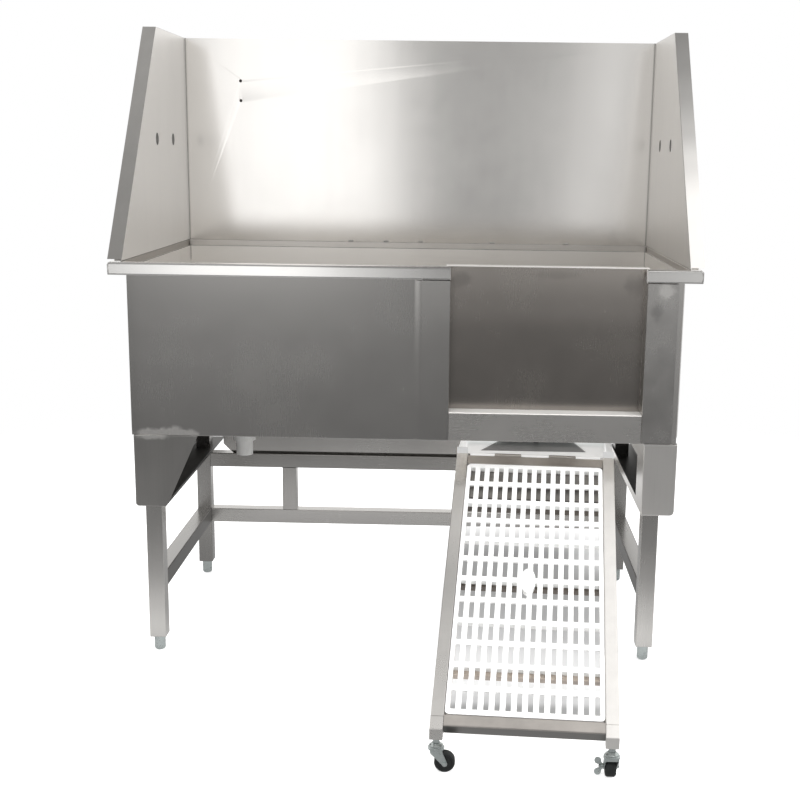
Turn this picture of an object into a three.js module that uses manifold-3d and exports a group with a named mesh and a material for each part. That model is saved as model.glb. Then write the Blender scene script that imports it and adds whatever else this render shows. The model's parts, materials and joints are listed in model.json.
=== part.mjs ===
// Stainless steel pet bathtub: a welded basin with splash guards on a four-legged tube frame,
// a lift-out door in the front, and a caster-ended ramp that pulls out from under the basin.
// Millimetres, +X to the right seen from the front, +Y to the back, +Z up.
import * as THREE from 'three';
import { mergeVertices } from 'three/addons/utils/BufferGeometryUtils.js';
import Module from 'manifold-3d';

const wasm = await Module();
wasm.setup();

// ---------------------------------------------------------------- driving dimensions

const GAP = 0.3; // room left between pieces that touch
const SHEET = 2; // sheet metal thickness
const TUBE = 37; // square tube of the stand
const TUBE_WALL = 2;

const RIM = { width: 1270, front: -350, back: 401, top: 885, height: 28, bar: 26 };
const BASIN = { halfWidth: 595, front: -343, back: 374.7, bottom: 508, top: 870 };
const FLARE = { step: 13.7, y: [-300, -270] }; // the basin widens by the step between these depths
const DOOR = { left: 99, right: 517, sill: 572, top: 885.5, front: -302, back: -275, overlap: 10 };
const POST = { front: -350, leftEdge: 38.7, rightEdge: 582.7, flange: 16 };
const SLOT = { play: 0.5, depth: 12, floor: 560 };
const SPLASH = { top: 1403, lowerFront: -326, upperFront: 58, flange: 31, back: 392 };
const FAUCET = { radius: 14.5, z: 1145, y: [40, 210], collar: 2, depth: 9 };
const NUT = { x: -465, z: [1297, 1247], bore: 4, radius: 6, length: 16 }; // closed nuts in the backsplash
const DRAIN = { x: -396, y: -60, bore: 19, bottom: 402 };

const LEG = { left: -573, right: 567, front: -332, rear: 219.7, bottom: 34.3 };
const LOW_RAIL = 147; // underside of the braces and the lower rear rail
const HIGH_RAIL = 299;
const STRUTS = { left: -345, right: 277 }; // left face of each rear strut
const FOOT = { radius: 12.5, stem: 6, stemTop: 84 };
const GUSSET = { front: -345, back: 360, low: 347, openY: [-245, 320], openZ: [366, 460] };

const PIVOT = { x: 292.5, y: -294, z: 463.5 }; // ramp hinge line, at its middle
const RAMP = { halfWidth: 174, bar: 25, length: 716, above: 3 };
const RAMP_TILT = THREE.MathUtils.degToRad(31.9);
const RAMP_YAW = THREE.MathUtils.degToRad(3.8);
const GRATE = { columns: 14, rows: 12, slotWidth: 10.4, slotLength: 41, thickness: 12, thinRib: 4 };
const BEARERS = [1 / 6, 1 / 2, 5 / 6]; // along the ramp, from its foot
const LEDGE = 9; // width of the strips that the grate's sides lie on
const PAD = { x: -4, halfWidth: 15, halfLength: 31 }; // the blank oval pad in the middle of the tread
const TRAY = { halfWidth: 174, depth: 175, sheet: 1.5, top: 3.5, lip: 8, ear: 25, earTop: 16, foldEnd: 110 };
const HINGE = { pin: 2.5, bore: 2.8, barrel: 4.5, halfLength: 144 };
const SLIDE = { width: 27, bottom: 469, height: 12, front: -165, back: 395 };
const SLIDE_INSIDE = TRAY.halfWidth + 13; // from the bolt to a slide's open side
const SLIDE_BAR = { bottom: 471.5, top: 477.5, front: -165, back: -135 };
const CASTER = { radius: 19.5, width: 19, trail: 16, headTop: 56.5, headRadius: 15.5, cheek: 2, axle: 2.3 };
const SOCKET = { bottom: 66, stemHole: 4.3, holeDepth: 14 };
const BRAKE = { hub: 5.5, length: 5, lobe: 6.5, out: 10, reach: 11, thickness: 3 };

// The ramp's tray turns on a bolt through the slide bar, this far behind the hinge line.
const BOLT_REACH = (SLIDE_BAR.front + SLIDE_BAR.back) / 2 - PIVOT.y;
const BOLT = { radius: 5, bore: 5.3, head: 9 };
const BOLT_X = PIVOT.x + BOLT_REACH * Math.sin(RAMP_YAW);
const BOLT_Y = PIVOT.y + BOLT_REACH * Math.cos(RAMP_YAW);

// ---------------------------------------------------------------- finishes

function steel(tone = 0.7) {
  return new THREE.MeshStandardMaterial({
    color: new THREE.Color(tone, tone * 0.99, tone * 0.97), roughness: 0.34, metalness: 1,
  });
}
function zinc() {
  return new THREE.MeshStandardMaterial({ color: 0xb9c2c0, roughness: 0.25, metalness: 1 });
}
function plastic() {
  return new THREE.MeshStandardMaterial({ color: 0xf1f1ef, roughness: 0.45, metalness: 0 });
}
function rubber() {
  return new THREE.MeshStandardMaterial({ color: 0x1d2120, roughness: 0.6, metalness: 0 });
}

// ---------------------------------------------------------------- solids

function solid(geometry) {
  const bare = geometry.clone();
  bare.deleteAttribute('normal');
  bare.deleteAttribute('uv');
  const merged = mergeVertices(bare, 1e-4);
  const vertProperties = new Float32Array(merged.attributes.position.array);
  const triVerts = new Uint32Array(merged.index.array);
  return new wasm.Manifold(new wasm.Mesh({ numProp: 3, vertProperties, triVerts }));
}

function surface(body) {
  const mesh = body.getMesh();
  const geometry = new THREE.BufferGeometry();
  geometry.setAttribute('position', new THREE.BufferAttribute(mesh.vertProperties, 3));
  geometry.setIndex(new THREE.BufferAttribute(mesh.triVerts, 1));
  geometry.computeVertexNormals();
  return geometry;
}

function join(...bodies) {
  return bodies.reduce((sum, body) => sum.add(body));
}

function cut(body, ...tools) {
  return tools.reduce((rest, tool) => rest.subtract(tool), body);
}

function box([x0, x1], [y0, y1], [z0, z1]) {
  const block = new THREE.BoxGeometry(x1 - x0, y1 - y0, z1 - z0);
  return solid(block.translate((x0 + x1) / 2, (y0 + y1) / 2, (z0 + z1) / 2));
}

// An outline swept straight along one axis. Its points are (y, z) along x, (x, z) along y
// and (x, y) along z.
function prism(axis, outline, [from, to], holes = []) {
  const turn = axis === 'y' ? ([x, z]) => new THREE.Vector2(z, x) : ([a, b]) => new THREE.Vector2(a, b);
  const points = outline.map(turn);
  const shape = new THREE.Shape(THREE.ShapeUtils.isClockWise(points) ? points.reverse() : points);
  shape.holes = holes.map((hole) => new THREE.Path(hole.map(turn)));
  const sweep = new THREE.ExtrudeGeometry(shape, { depth: to - from, bevelEnabled: false, curveSegments: 6 });
  sweep.translate(0, 0, from);
  const basis = new THREE.Matrix4();
  if (axis === 'x') basis.set(0, 0, 1, 0, 1, 0, 0, 0, 0, 1, 0, 0, 0, 0, 0, 1);
  if (axis === 'y') basis.set(0, 1, 0, 0, 0, 0, 1, 0, 1, 0, 0, 0, 0, 0, 0, 1);
  return solid(sweep.applyMatrix4(basis));
}

// A round bar or disc along an axis through (a, b), the other two coordinates in x, y, z order.
function rod(axis, [a, b], radius, [from, to], sides = 24) {
  const bar = new THREE.CylinderGeometry(radius, radius, to - from, sides);
  const middle = (from + to) / 2;
  if (axis === 'x') bar.rotateZ(Math.PI / 2).translate(middle, a, b);
  if (axis === 'y') bar.translate(a, middle, b);
  if (axis === 'z') bar.rotateX(Math.PI / 2).translate(a, b, middle);
  return solid(bar);
}

// A turned piece about the vertical through (x, y), from (radius, height) points.
function turned([x, y], profile, sides = 28) {
  const points = profile.map(([radius, height]) => new THREE.Vector2(radius, height));
  const lathe = new THREE.LatheGeometry(points, sides);
  return solid(lathe.rotateX(Math.PI / 2).translate(x, y, 0));
}

function square([a0, a1], [b0, b1]) {
  return [[a0, b0], [a1, b0], [a1, b1], [a0, b1]];
}

// A square tube along an axis, its section given by two spans.
function tube(axis, spanA, spanB, along, wall = TUBE_WALL) {
  const inset = ([low, high]) => [low + wall, high - wall];
  return prism(axis, square(spanA, spanB), along, [square(inset(spanA), inset(spanB))]);
}

// The outline of a sheet folded along an open path, its thickness to the left of the path.
function folded(path, thickness = SHEET) {
  const points = path.map(([a, b]) => new THREE.Vector2(a, b));
  const sides = points.slice(1).map((end, i) => {
    const along = end.clone().sub(points[i]).normalize();
    return new THREE.Vector2(-along.y, along.x);
  });
  const inner = points.map((point, i) => {
    const before = sides[Math.max(i - 1, 0)];
    const after = sides[Math.min(i, sides.length - 1)];
    const mitre = before.clone().add(after).divideScalar(1 + before.dot(after));
    return point.clone().addScaledVector(mitre, thickness);
  });
  return [...points, ...inner.reverse()].map((point) => [point.x, point.y]);
}

// A rectangle with chosen corners rounded: radii in the order of the square's corners.
function rounded([a0, a1], [b0, b1], radii, steps = 4) {
  const corners = [[a0, b0, 1, 1], [a1, b0, -1, 1], [a1, b1, -1, -1], [a0, b1, 1, -1]];
  return corners.flatMap(([a, b, da, db], i) => {
    const radius = radii[i];
    if (radius === 0) return [[a, b]];
    const start = Math.PI + (i * Math.PI) / 2;
    return Array.from({ length: steps + 1 }, (_, k) => {
      const angle = start + (k / steps) * (Math.PI / 2);
      return [a + da * radius + radius * Math.cos(angle), b + db * radius + radius * Math.sin(angle)];
    });
  });
}

function add(group, name, body, material) {
  const mesh = new THREE.Mesh(surface(body), material);
  mesh.name = name;
  group.add(mesh);
  return mesh;
}

// ---------------------------------------------------------------- basin and rim

// The basin's outline from above, set in by a distance: behind its front corners it widens until its
// walls stand flush under the splash guards.
function basinPlan(inset) {
  const { halfWidth, front, back } = BASIN;
  const narrow = halfWidth - inset;
  const wide = narrow + FLARE.step;
  const right = [[narrow, front + inset], [narrow, FLARE.y[0]], [wide, FLARE.y[1]], [wide, back - inset]];
  return [...right, ...right.map(([x, y]) => [-x, y]).reverse()];
}

function makeBasin(group) {
  const { halfWidth, front, bottom, top } = BASIN;
  const shell = cut(
    prism('z', basinPlan(0), [bottom, top]),
    prism('z', basinPlan(SHEET), [bottom + SHEET, top + 1]),
  );
  const reach = RIM.width / 2 - SHEET - 0.5;
  const lip = cut(
    box([-reach, reach], [front, RIM.back - SHEET - 0.5], [top - SHEET, top]),
    prism('z', basinPlan(SHEET), [top - 10, top + 1]),
  );
  const between = [SHEET - halfWidth, halfWidth - SHEET];
  const nose = box(between, [front, RIM.front + RIM.bar], [top - SHEET, top]);
  const doorWide = [POST.leftEdge + 1.3, POST.rightEdge - 2.7];
  const doorway = box(doorWide, [front - 1, front + 60], [bottom + SHEET, top + 1]);
  const drainHole = rod('z', [DRAIN.x, DRAIN.y], DRAIN.bore + 4, [bottom - 1, bottom + 3]);
  add(group, 'basin', cut(join(shell, lip, nose), doorway, drainHole), steel(0.62));
}

// One rim bar is a channel open underneath, its outer face deeper than its inner one. A wall of
// the given thickness closes each of its ends in y.
function rimChannel([x0, x1], [y0, y1], inner, endWall = SHEET) {
  const low = RIM.top - RIM.height;
  const outer = box([x0, x1], [y0, y1], [low, RIM.top]);
  const hollow = box([x0 + SHEET, x1 - SHEET], [y0 + endWall, y1 - endWall], [low - 1, RIM.top - SHEET]);
  return cut(outer, hollow, inner);
}

function makeRim(group) {
  const half = RIM.width / 2;
  const low = RIM.top - RIM.height;
  const ledge = BASIN.top + GAP;
  const soft = 5;
  const frontBack = RIM.front + RIM.bar;
  const ends = [['left', [-half, DOOR.left]], ['right', [DOOR.right, half]]];
  for (const [side, span] of ends) {
    const inner = box([span[0] - 1, span[1] + 1], [frontBack - SHEET - 1, frontBack + 1], [low - 1, ledge]);
    const section = rounded([RIM.front, frontBack], [low, RIM.top], [soft, 0, 0, soft]);
    const corner = side === 'left' ? [soft, 0, 0, 0] : [0, soft, 0, 0];
    const tip = side === 'left' ? [soft, 0, 0, soft] : [0, soft, soft, 0];
    const skin = prism('x', section, span)
      .intersect(prism('z', rounded(span, [RIM.front, frontBack], corner), [low, RIM.top]))
      .intersect(prism('y', rounded(span, [low, RIM.top], tip), [RIM.front, frontBack]));
    const body = rimChannel(span, [RIM.front, frontBack], inner).intersect(skin);
    add(group, `rim_front_${side}`, body, steel(0.78));
  }
  const inside = half - RIM.bar;
  const run = [frontBack + GAP, RIM.back - RIM.bar - GAP];
  for (const [side, span] of [['left', [-half, -inside]], ['right', [inside, half]]]) {
    const edge = side === 'left' ? [-inside - SHEET - 1, -inside + 1] : [inside - 1, inside + SHEET + 1];
    const inner = box(edge, [run[0] - 1, run[1] + 1], [low - 1, ledge]);
    add(group, `rim_${side}`, rimChannel(span, run, inner, -1), steel(0.74));
  }
  const rearFront = RIM.back - RIM.bar;
  const inner = box([-half - 1, half + 1], [rearFront - 1, rearFront + SHEET + 1], [low - 1, ledge]);
  add(group, 'rim_rear', rimChannel([-half, half], [rearFront, RIM.back], inner), steel(0.74));
}

// ---------------------------------------------------------------- splash guards

function makeBacksplash(group) {
  const half = RIM.width / 2 - RIM.bar - GAP;
  const face = RIM.back - RIM.bar;
  const foot = RIM.top + GAP;
  const panel = box([-half, half], [face, face + SHEET], [foot, SPLASH.top]);
  const hem = box([-half, half], [face, face + 17], [SPLASH.top - SHEET, SPLASH.top]);
  const flange = box([-half, half], [face, face + 17], [foot, foot + SHEET]);
  const nuts = NUT.z.map((z) => rod('y', [NUT.x, z], NUT.radius, [face + 1, face + NUT.length], 16));
  const holes = NUT.z.map((z) => rod('y', [NUT.x, z], NUT.bore, [face - 1, face + NUT.length - 1.5], 16));
  add(group, 'backsplash', cut(join(panel, hem, flange, ...nuts), ...holes), steel(0.72));
}

function makeGuard(group, side) {
  const name = side < 0 ? 'left' : 'right';
  const inside = RIM.width / 2 - RIM.bar;
  const span = (near, far) => (side < 0 ? [-far, -near] : [near, far]);
  const foot = RIM.top + GAP;
  const { lowerFront, upperFront, top, back, flange } = SPLASH;
  const outline = [[lowerFront, foot], [back, foot], [back, top], [upperFront, top]];
  const panel = prism('x', outline, span(inside, inside + SHEET));
  const slope = (upperFront - lowerFront) / (top - foot);
  const hemFoot = foot + 4;
  const hemStart = lowerFront + slope * (hemFoot - foot);
  const edge = [
    [hemStart, hemFoot], [hemStart + SHEET, hemFoot], [upperFront + SHEET, top], [upperFront, top],
  ];
  const hem = prism('x', edge, span(inside, inside + flange));
  const cap = box(span(inside, inside + 16), [upperFront, back], [top - SHEET, top]);
  const base = box(span(inside, inside + 22), [lowerFront + 26, back], [foot, foot + SHEET]);
  const { radius, collar, depth } = FAUCET;
  const at = (size, from, to) => FAUCET.y.map((y) => rod('x', [y, FAUCET.z], size, span(from, to), 32));
  const collars = at(radius + collar, inside + 1, inside + depth);
  const holes = at(radius, inside - 1, inside + depth + 1);
  add(group, `guard_${name}`, cut(join(panel, hem, cap, base, ...collars), ...holes), steel(0.68));
}

// ---------------------------------------------------------------- doorway and door

const FLOOR = BASIN.bottom + SHEET + GAP; // the basin floor, where the door frame stands
const UNDER_LIP = BASIN.top - SHEET - GAP;
const LIP = { front: DOOR.front - SLOT.play - SHEET, back: DOOR.back + SLOT.play + SHEET };

function makePosts(group) {
  const rimDeep = [RIM.front - 1, RIM.front + RIM.bar + GAP];
  const rimSpace = box([0, RIM.width / 2], rimDeep, [RIM.top - RIM.height - GAP, RIM.top + 15]);
  const seat = BASIN.front - GAP;
  const leftPath = [
    [DOOR.left, LIP.front - GAP], [DOOR.left, POST.front], [POST.leftEdge, POST.front],
    [POST.leftEdge, seat - SHEET], [POST.leftEdge - POST.flange, seat - SHEET],
  ];
  const rightPath = [
    [POST.rightEdge, seat], [POST.rightEdge, POST.front], [DOOR.right, POST.front],
    [DOOR.right, LIP.front - GAP],
  ];
  const left = prism('z', folded(leftPath, -SHEET), [FLOOR, UNDER_LIP]);
  const right = prism('z', folded(rightPath, -SHEET), [FLOOR, UNDER_LIP]);
  add(group, 'door_post_left', cut(left, rimSpace), steel(0.76));
  add(group, 'door_post_right', cut(right, rimSpace), steel(0.72));
}

// Each jamb is one folded sheet: the door's slot, then the cover that closes the post inside.
function makeJambs(group) {
  const web = DOOR.left - SLOT.depth - SHEET;
  const farWeb = DOOR.right + SLOT.depth + SHEET;
  const leftSlot = [[DOOR.left, LIP.front], [web, LIP.front], [web, LIP.back - SHEET]];
  const coverLeft = POST.leftEdge - POST.flange - 4;
  const upright = [FLOOR, UNDER_LIP];
  const closing = [UNDER_LIP - SHEET, UNDER_LIP];
  const slotWall = (points) => prism('z', folded(points), upright);
  const leftJamb = join(
    slotWall([...leftSlot].reverse()),
    box([coverLeft, DOOR.left], [LIP.back - SHEET, LIP.back], upright),
    box([coverLeft, coverLeft + SHEET], [BASIN.front + SHEET + GAP, LIP.back], upright),
    box([coverLeft, web + 1], [RIM.front + RIM.bar + GAP, LIP.back], closing),
  );
  const rightSlot = [[DOOR.right, LIP.front], [farWeb, LIP.front], [farWeb, LIP.back - SHEET]];
  const coverRight = BASIN.halfWidth - SHEET - GAP;
  const rightJamb = join(
    slotWall(rightSlot),
    box([DOOR.right, coverRight], [LIP.back - SHEET, LIP.back], upright),
    box([farWeb - 1, coverRight], [RIM.front + RIM.bar + GAP, LIP.back], closing),
  );
  add(group, 'door_jamb_left', leftJamb, steel(0.6));
  add(group, 'door_jamb_right', rightJamb, steel(0.6));
}

function makeSill(group) {
  const path = [
    [POST.front, FLOOR], [POST.front, DOOR.sill], [LIP.front + SHEET, DOOR.sill],
    [LIP.front + SHEET, SLOT.floor], [LIP.back - SHEET, SLOT.floor],
  ];
  const along = [DOOR.left + GAP, DOOR.right - GAP];
  const sheet = prism('x', folded(path, -SHEET), along);
  const back = box(along, [LIP.back - SHEET, LIP.back], [FLOOR, DOOR.sill]);
  add(group, 'door_sill', join(sheet, back), steel(0.74));
}

function makeDoor(group) {
  const wide = [DOOR.left - DOOR.overlap, DOOR.right + DOOR.overlap];
  const tall = [SLOT.floor + GAP, DOOR.top];
  const inset = ([low, high]) => [low + SHEET, high - SHEET];
  const skin = cut(
    box(wide, [DOOR.front, DOOR.back], tall),
    box(inset(wide), [DOOR.front + SHEET, DOOR.back + 1], inset(tall)),
  );
  add(group, 'door_panel', skin, steel(0.58));
  const tuck = ([low, high]) => [low + SHEET + GAP, high - SHEET - GAP];
  const liner = box(tuck(wide), [DOOR.back - SHEET - GAP, DOOR.back - GAP], tuck(tall));
  add(group, 'door_liner', liner, steel(0.6));
}

// ---------------------------------------------------------------- drain

function makeDrain(group) {
  const { x, y, bore, bottom } = DRAIN;
  const floor = BASIN.bottom + SHEET;
  const thread = bore + 3;
  const flange = [
    [bore, 446], [thread, 446], [thread, floor + GAP], [44, floor + GAP], [42, floor + 3],
    [bore + 2, floor + 3], [bore, floor + 2], [bore, 446],
  ];
  add(group, 'drain_flange', turned([x, y], flange), steel(0.75));
  const nutBore = rod('z', [x, y], thread + GAP, [490, 510]);
  const nut = cut(rod('z', [x, y], 36, [498, BASIN.bottom - GAP], 6), nutBore);
  add(group, 'drain_locknut', nut, zinc());
  const tail = [
    [bore - 1, bottom], [bore + 1, bottom], [bore + 1, 436], [27, 438], [27, 460],
    [thread + GAP, 460], [thread + GAP, 445], [bore - 1, 443], [bore - 1, bottom],
  ];
  add(group, 'drain_tailpiece', turned([x, y], tail), plastic());
  const seat = floor + 3 + GAP;
  const cap = [[0, seat], [34, seat], [34, seat + 1.5], [6, seat + 3], [6, seat + 12], [0, seat + 13]];
  const holes = Array.from({ length: 12 }, (_, i) => {
    const angle = (i * Math.PI) / 6;
    return rod('z', [x + 13 * Math.cos(angle), y + 13 * Math.sin(angle)], 1.8, [seat - 1, seat + 5], 8);
  });
  add(group, 'drain_strainer', cut(turned([x, y], cap), ...holes), steel(0.72));
}

// ---------------------------------------------------------------- stand

const LEG_SPOTS = [
  ['front_left', LEG.left, LEG.front],
  ['front_right', LEG.right - TUBE, LEG.front],
  ['rear_left', LEG.left, LEG.rear],
  ['rear_right', LEG.right - TUBE, LEG.rear],
];

function makeLegs(group) {
  const top = BASIN.bottom - GAP;
  for (const [name, x, y] of LEG_SPOTS) {
    const shell = tube('z', [x, x + TUBE], [y, y + TUBE], [LEG.bottom, top]);
    const centre = [x + TUBE / 2, y + TUBE / 2];
    const plug = box([x + 1, x + TUBE - 1], [y + 1, y + TUBE - 1], [LEG.bottom, LEG.bottom + 5]);
    const thread = rod('z', centre, FOOT.stem + GAP, [LEG.bottom - 1, LEG.bottom + 6], 16);
    add(group, `leg_${name}`, join(shell, cut(plug, thread)), steel(0.66));
  }
}

// A bullet foot screwed all the way in: a round-nosed body and its threaded stem.
function makeFoot(group, name, x, y) {
  const { radius, stem, stemTop } = FOOT;
  const top = LEG.bottom - GAP;
  const nose = Array.from({ length: 5 }, (_, k) => {
    const angle = (k / 4) * (Math.PI / 2);
    return [radius - 6 + 6 * Math.sin(angle), 6 - 6 * Math.cos(angle)];
  });
  const profile = [[0, 0], ...nose, [radius, top], [stem, top], [stem, stemTop], [0, stemTop]];
  add(group, `foot_${name}`, turned([x + TUBE / 2, y + TUBE / 2], profile, 20), zinc());
}

function makeRails(group) {
  const behind = LEG.front + TUBE + GAP;
  const low = [LOW_RAIL, LOW_RAIL + TUBE];
  const high = [HIGH_RAIL, HIGH_RAIL + TUBE];
  const deep = [LEG.rear, LEG.rear + TUBE];
  for (const [side, x] of [['left', LEG.left], ['right', LEG.right - TUBE]]) {
    const brace = tube('y', [x, x + TUBE], low, [behind, LEG.rear - GAP]);
    add(group, `side_brace_${side}`, brace, steel(0.64));
  }
  const between = [LEG.left + TUBE + GAP, LEG.right - TUBE - GAP];
  add(group, 'rear_rail_upper', tube('x', deep, high, between), steel(0.62));
  add(group, 'rear_rail_lower', tube('x', deep, low, between), steel(0.66));
  for (const [side, x] of Object.entries(STRUTS)) {
    const strut = tube('z', [x, x + TUBE], deep, [low[1] + GAP, high[0] - GAP]);
    add(group, `rear_strut_${side}`, strut, steel(0.64));
  }
}

// A stepped sheet that stands on the upper rail, its lower corners cut off at an angle.
function makeStiffener(group) {
  const foot = HIGH_RAIL + TUBE + GAP;
  const face = LEG.rear;
  const path = [[face, 400], [face, foot + 8], [face + 4, foot + 8], [face + 4, foot], [face + 30, foot]];
  const sheet = prism('x', folded(path), [-500, 500]);
  const corner = (side) => {
    const wedge = [[side * 501, foot - 1], [side * 501, 363], [side * 474, foot - 1]];
    return prism('y', wedge, [face - 1, 260]);
  };
  add(group, 'rear_stiffener', cut(sheet, corner(-1), corner(1)), steel(0.6));
}

// Each leg bracket is a folded channel that hangs below the basin's end and lets the legs through.
function makeGusset(group, name, frontOutline, channel) {
  const { front, back, low } = GUSSET;
  const plate = prism('y', frontOutline, [front, front + SHEET]);
  const around = (start) => [start - GAP, start + TUBE + GAP];
  const clear = LEG_SPOTS.map(([, x, y]) => box(around(x), around(y), [low - 1, BASIN.bottom]));
  const run = prism('y', channel, [front, back]);
  const opening = box([500, 540], GUSSET.openY, GUSSET.openZ);
  add(group, `gusset_${name}`, join(plate, cut(run, opening, ...clear)), steel(0.67));
}

// The left bracket is open on its inner side. The right one has an inner side with a long opening.
function makeGussets(group) {
  const top = BASIN.bottom - GAP;
  const { low } = GUSSET;
  const leftFold = [[-591, top], [-591, low + 5], [-586, low], [-524, low], [-519, low + 6]];
  const leftChannel = folded([...leftFold, [-519, low + 12]]);
  makeGusset(group, 'left', [...leftFold, [-450, top]], leftChannel);
  const rightFold = [[598, top], [598, low + 10], [595, low + 3], [588, low], [526, low], [526, top]];
  makeGusset(group, 'right', rightFold, folded(rightFold, -SHEET));
}

// ---------------------------------------------------------------- ramp slides and runner

// A C-shaped rail at each side of the tray, hung from the basin floor on three tabs.
function makeSlides(group) {
  const { width, bottom, height, front, back } = SLIDE;
  const under = BASIN.bottom - GAP;
  for (const [side, sign] of [['left', -1], ['right', 1]]) {
    const at = (distance) => BOLT_X + sign * (SLIDE_INSIDE + distance);
    const span = (near, far) => [at(near), at(far)].sort((p, q) => p - q);
    const path = [[0, bottom], [width, bottom], [width, bottom + height], [0, bottom + height]];
    const section = folded(path.map(([distance, z]) => [at(distance), z]), sign * SHEET);
    const hangers = [-120, 120, 330].flatMap((y) => [
      box(span(12, 15), [y, y + 40], [bottom + height - 1, under]),
      box(span(2, 25), [y, y + 40], [under - SHEET, under]),
    ]);
    add(group, `ramp_slide_${side}`, join(prism('y', section, [front, back]), ...hangers), steel(0.6));
  }
}

// The bar that runs in both slides and carries the tray's bolt.
function makeRunner(group) {
  const reach = SLIDE_INSIDE + SLIDE.width - SHEET - 1;
  const { bottom, top, front, back } = SLIDE_BAR;
  const bar = box([BOLT_X - reach, BOLT_X + reach], [front, back], [bottom, top]);
  const hole = rod('z', [BOLT_X, BOLT_Y], BOLT.bore, [bottom - 1, top + 1], 20);
  add(group, 'slide_bar', cut(bar, hole), zinc());
}

// ---------------------------------------------------------------- tray and hinge

const KNUCKLES = { tray: [[-144, -90], [-30, 30], [90, 144]], ramp: [[-89.5, -30.5], [30.5, 89.5]] };

function barrel([from, to]) {
  return rod('x', [0, 0], HINGE.barrel, [from, to], 20);
}

// The tray is a shallow sheet box turned down at its sides. Over each ramp rail it carries an ear,
// and behind the ear a fold that stands up and turns outwards.
function makeTray(group) {
  const { halfWidth, depth, sheet, top, lip, ear, earTop, foldEnd } = TRAY;
  const hinge = HINGE.halfLength;
  const front = 2;
  const earDepth = [front, front + SHEET];
  const stand = halfWidth - ear + 8;
  const foldTop = earTop - 1;
  const both = (near, far) => [[-far, -near], [near, far]];
  const parts = [
    box([-hinge, hinge], [0, depth], [top - sheet, top]),
    box([-halfWidth, halfWidth], [front, depth], [top - sheet, top]),
    box([-halfWidth, halfWidth], [depth - sheet, depth], [top - lip, top]),
    ...both(halfWidth - sheet, halfWidth).map((span) => box(span, [8, depth], [top - lip, top])),
    ...both(halfWidth - ear, halfWidth).map((span) => box(span, earDepth, [top - sheet, earTop])),
    ...both(stand, stand + sheet).map((span) => box(span, [front, foldEnd], [top - sheet, foldTop])),
    ...both(stand, halfWidth - 3).map((span) => box(span, [front, foldEnd], [foldTop - sheet, foldTop])),
  ];
  const slots = KNUCKLES.ramp.map(([from, to]) => box([from - 0.5, to + 0.5], [-5, 6.5], [-5, top + 1]));
  const pinBore = rod('x', [0, 0], HINGE.bore, [-hinge - 1, hinge + 1], 20);
  const boltHole = rod('z', [0, BOLT_REACH], BOLT.bore, [0, top + 1], 20);
  const tray = join(cut(join(...parts), ...slots), ...KNUCKLES.tray.map(barrel));
  add(group, 'ramp_tray', cut(tray, pinBore, boltHole), steel(0.75));
  add(group, 'hinge_pin', rod('x', [0, 0], HINGE.pin, [-hinge, hinge], 20), zinc());
}

function makeBolt(group) {
  const barTop = SLIDE_BAR.top - PIVOT.z;
  const under = TRAY.top - TRAY.sheet - GAP;
  const bolt = join(
    rod('z', [0, BOLT_REACH], BOLT.radius, [under - 4, barTop + 1], 20),
    rod('z', [0, BOLT_REACH], BOLT.head, [barTop + GAP, barTop + 5], 6),
    rod('z', [0, BOLT_REACH], BOLT.head, [under - 4, under], 6),
  );
  add(group, 'tray_bolt', bolt, zinc());
}

// ---------------------------------------------------------------- ramp

function makeRamp(group) {
  const { halfWidth, bar, length, above } = RAMP;
  const deep = [above - bar, above];
  const inner = halfWidth - bar;
  for (const [side, span] of [['left', [-halfWidth, -inner]], ['right', [inner, halfWidth]]]) {
    const x = (span[0] + span[1]) / 2;
    const rail = cut(tube('y', span, deep, [-length, 0]), upright(x, GAP));
    add(group, `ramp_rail_${side}`, rail, steel(0.82));
    makeSocket(group, side, x);
  }
  const across = [-inner + GAP, inner - GAP];
  const topBar = [-30.5, -5.5];
  const web = KNUCKLES.ramp.map((span) => box(span, [-6.5, 0], [-HINGE.barrel, -1.5]));
  const pinBore = rod('x', [0, 0], HINGE.bore, [-150, 150], 20);
  const knuckles = cut(join(...web, ...KNUCKLES.ramp.map(barrel)), pinBore);
  add(group, 'ramp_bar_top', join(tube('x', topBar, deep, across), knuckles), steel(0.74));
  add(group, 'ramp_bar_bottom', tube('x', [9 - length, 9 + bar - length], deep, across), steel(0.72));
  const grateEnd = 9 + bar - length;
  const grateStart = topBar[0];
  makeBearers(group, [grateEnd + GAP, grateStart - GAP], across);
  makeGrate(group, [grateEnd + 1, grateStart - 1], inner - 1);
}

// The grate lies on three channels, open underneath, that are tied by a flat strip along each side.
function makeBearers(group, [low, high], [from, to]) {
  const { bar, above } = RAMP;
  const span = [above - bar, above - GRATE.thickness - GAP];
  const strip = [span[1] - SHEET, span[1]];
  const bearers = BEARERS.map((share) => {
    const middle = low + share * (high - low);
    const outside = box([from, to], [middle - bar / 2, middle + bar / 2], span);
    const inside = [middle - bar / 2 + SHEET, middle + bar / 2 - SHEET];
    return cut(outside, box([from - 1, to + 1], inside, [span[0] - 1, strip[0]]));
  });
  const ties = [box([from, from + LEDGE], [low, high], strip), box([to - LEDGE, to], [low, high], strip)];
  add(group, 'ramp_bearers', join(...bearers, ...ties), steel(0.7));
}

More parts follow.
